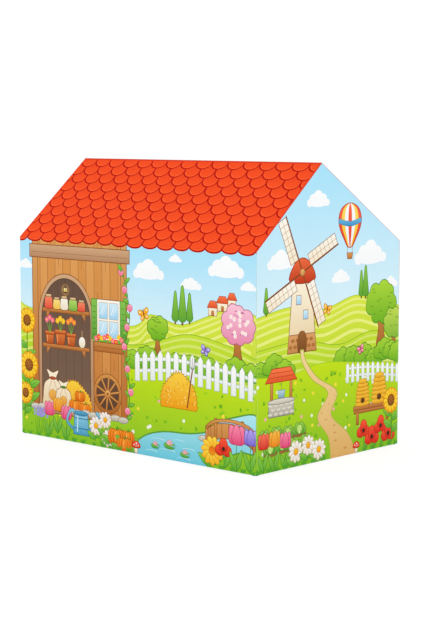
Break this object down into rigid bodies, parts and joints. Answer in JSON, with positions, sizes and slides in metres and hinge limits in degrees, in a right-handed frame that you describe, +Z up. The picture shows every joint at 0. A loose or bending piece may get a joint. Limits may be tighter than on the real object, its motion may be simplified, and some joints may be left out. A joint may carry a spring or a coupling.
{
  "type": "kids play tent",
  "caption": "House-shaped play tent with a gabled roof: printed cloth walls and tiled roof cloth over a push-together tube frame, with a flap doorway and a netted window.",
  "frame": {"origin": "on the floor, at the middle of the tent's length and depth", "axes": "+X along the tent towards the closed right gable, -Y is the front wall, +Y is the rear wall with the doorway, +Z up"},
  "size_m": [1.0511, 0.7011, 0.9199],
  "materials": {
    "wall_cloth": "printed woven polyester, matt",
    "gable_cloth": "printed woven polyester, matt",
    "roof_cloth": "printed woven polyester, matt",
    "net": "knitted mosquito net",
    "tape": "woven binding tape",
    "tube_plastic": "extruded, satin",
    "connector_plastic": "injection moulded, fine texture"
  },
  "bodies": {
    "tent": {"front_wall": "wall_cloth", "rear_wall": "wall_cloth", "left_gable": "gable_cloth", "right_gable": "gable_cloth", "roof_front": "roof_cloth", "roof_rear": "roof_cloth", "window_net": "net", "window_tape": "tape", "window_tab_front": "tape", "window_tab_rear": "tape", "doorway_tape": "tape", "door_tie_left": "tape", "door_tie_right": "tape", "hem_loop_left": "tape", "hem_loop_right": "tape", "hem_loop_front_left": "tape", "hem_loop_front_right": "tape", "hem_loop_rear_left": "tape", "hem_loop_rear_right": "tape", "base_corner_front_left": "connector_plastic", "base_corner_front_right": "connector_plastic", "base_corner_rear_left": "connector_plastic", "base_corner_rear_right": "connector_plastic", "eave_corner_front_left": "connector_plastic", "eave_corner_front_right": "connector_plastic", "eave_corner_rear_left": "connector_plastic", "eave_corner_rear_right": "connector_plastic", "ridge_end_left": "connector_plastic", "ridge_end_right": "connector_plastic", "base_rail_front_coupler": "connector_plastic", "base_rail_rear_coupler": "connector_plastic", "eave_rail_front_coupler": "connector_plastic", "eave_rail_rear_coupler": "connector_plastic", "ridge_pole_coupler": "connector_plastic", "post_front_left": "tube_plastic", "post_front_right": "tube_plastic", "post_rear_left": "tube_plastic", "post_rear_right": "tube_plastic", "rafter_front_left": "tube_plastic", "rafter_front_right": "tube_plastic", "rafter_rear_left": "tube_plastic", "rafter_rear_right": "tube_plastic", "base_rail_left": "tube_plastic", "base_rail_right": "tube_plastic", "base_rail_front_left": "tube_plastic", "base_rail_front_right": "tube_plastic", "base_rail_rear_left": "tube_plastic", "base_rail_rear_right": "tube_plastic", "eave_rail_left": "tube_plastic", "eave_rail_right": "tube_plastic", "eave_rail_front_left": "tube_plastic", "eave_rail_front_right": "tube_plastic", "eave_rail_rear_left": "tube_plastic", "eave_rail_rear_right": "tube_plastic", "ridge_pole_left": "tube_plastic", "ridge_pole_right": "tube_plastic"},
    "door_flap_left": {"door_flap_left": "wall_cloth"},
    "door_flap_right": {"door_flap_right": "wall_cloth"},
    "window_flap": {"window_flap": "gable_cloth"}
  },
  "joints": [
    {"name": "door_left_opens", "type": "hinge", "parent": "tent", "child": "door_flap_left", "pos_m": [-0.22985, 0.35, 0.28], "axis": [0, 0, 1], "range_deg": [0, 150]},
    {"name": "door_right_opens", "type": "hinge", "parent": "tent", "child": "door_flap_right", "pos_m": [0.22985, 0.35, 0.28], "axis": [0, 0, -1], "range_deg": [0, 150]},
    {"name": "window_flap_lifts", "type": "hinge", "parent": "tent", "child": "window_flap", "pos_m": [-0.5261, 0, 0.57], "axis": [0, 1, 0], "range_deg": [0, 150]}
  ]
}
